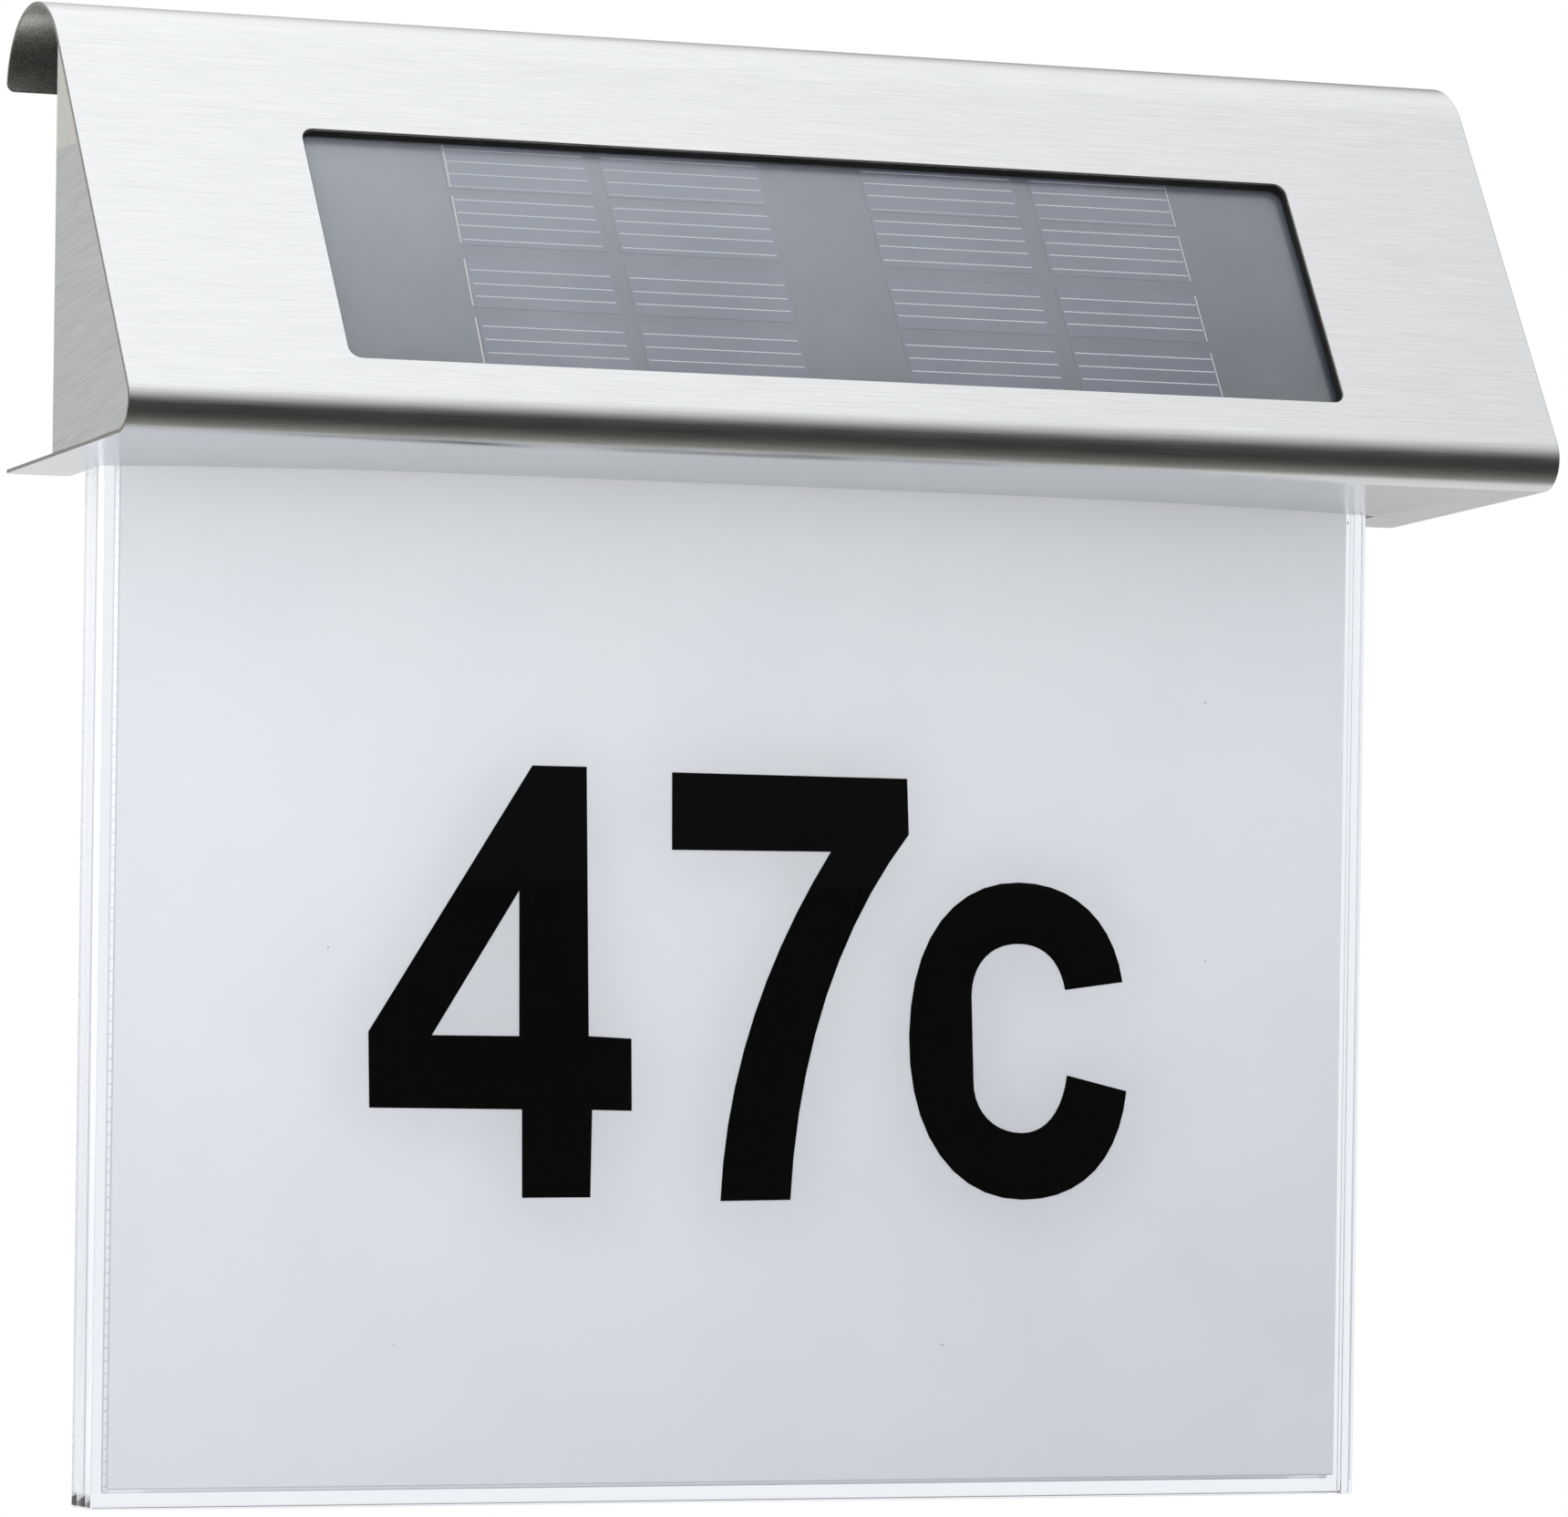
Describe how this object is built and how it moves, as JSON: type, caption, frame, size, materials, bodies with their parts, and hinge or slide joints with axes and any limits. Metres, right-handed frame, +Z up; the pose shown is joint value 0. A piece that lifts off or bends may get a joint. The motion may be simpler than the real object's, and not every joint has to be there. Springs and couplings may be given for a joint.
{
  "type": "solar house number light",
  "caption": "Wall-mounted solar house number light: folded stainless hood with a solar window over a hanging edge-lit acrylic panel.",
  "frame": {"origin": "on the wall plane, midway between the entries of the two keyholes in the back", "axes": "+Z up, +Y into the wall, +X to the right for someone who looks at the front"},
  "size_m": [0.225, 0.0537, 0.2145],
  "materials": {
    "stainless_sheet": "brushed along the length",
    "black_plastic": "fine spark-eroded grain",
    "seal_rubber": "matt",
    "cover_clear": "clear, low gloss",
    "silicon": "blue-grey with printed fingers",
    "board_laminate": "satin",
    "acrylic_clear": "polished clear",
    "film_white": "matt",
    "lamp_white": "clear resin over phosphor",
    "zinc_steel": "bright zinc",
    "contact_nickel": "nickel plated",
    "knob_plastic": "moulded",
    "ferrite": "sintered with enamelled wire",
    "chip_black": "moulded resin",
    "can_aluminium": "sleeved can",
    "lead_red": "smooth insulation",
    "lead_black": "smooth insulation"
  },
  "bodies": {
    "sign": {"back_screw_1": "zinc_steel", "back_screw_2": "zinc_steel", "back_screw_3": "zinc_steel", "back_screw_4": "zinc_steel", "battery": "can_aluminium", "capacitor": "can_aluminium", "charge_chip": "chip_black", "contact_negative": "contact_nickel", "contact_positive": "contact_nickel", "control_board": "board_laminate", "diffuser_film": "film_white", "end_cheek_left": "stainless_sheet", "end_cheek_right": "stainless_sheet", "front_housing": "black_plastic", "hood_sheet": "stainless_sheet", "housing_back": "black_plastic", "housing_gasket": "seal_rubber", "inductor": "ferrite", "led_1": "lamp_white", "led_2": "lamp_white", "led_3": "lamp_white", "led_4": "lamp_white", "led_5": "lamp_white", "led_6": "lamp_white", "led_board": "board_laminate", "light_guide": "acrylic_clear", "link_pin_1": "contact_nickel", "link_pin_2": "contact_nickel", "panel_front": "acrylic_clear", "panel_pad": "seal_rubber", "panel_rear": "acrylic_clear", "panel_screw_1": "zinc_steel", "panel_screw_2": "zinc_steel", "reflector_film": "film_white", "solar_board": "board_laminate", "solar_cell_a1": "silicon", "solar_cell_a2": "silicon", "solar_cell_a3": "silicon", "solar_cell_a4": "silicon", "solar_cell_b1": "silicon", "solar_cell_b2": "silicon", "solar_cell_b3": "silicon", "solar_cell_b4": "silicon", "solar_cover": "cover_clear", "solar_lead_black": "lead_black", "solar_lead_red": "lead_red", "stud_nut_1": "zinc_steel", "stud_nut_2": "zinc_steel", "stud_nut_3": "zinc_steel", "stud_nut_4": "zinc_steel", "switch_body": "zinc_steel", "window_seal": "seal_rubber"},
    "switch_knob": {"switch_knob": "knob_plastic"},
    "battery_door": {"battery_door": "black_plastic", "door_screw_1": "zinc_steel", "door_screw_2": "zinc_steel"}
  },
  "joints": [
    {"name": "switch_slide", "type": "slide", "parent": "sign", "child": "switch_knob", "axis": [1, 0, 0], "range_m": [0, 0.003]},
    {"name": "battery_door_lift", "type": "slide", "parent": "sign", "child": "battery_door", "axis": [0, 1, 0], "range_m": [0, 0.03]}
  ]
}
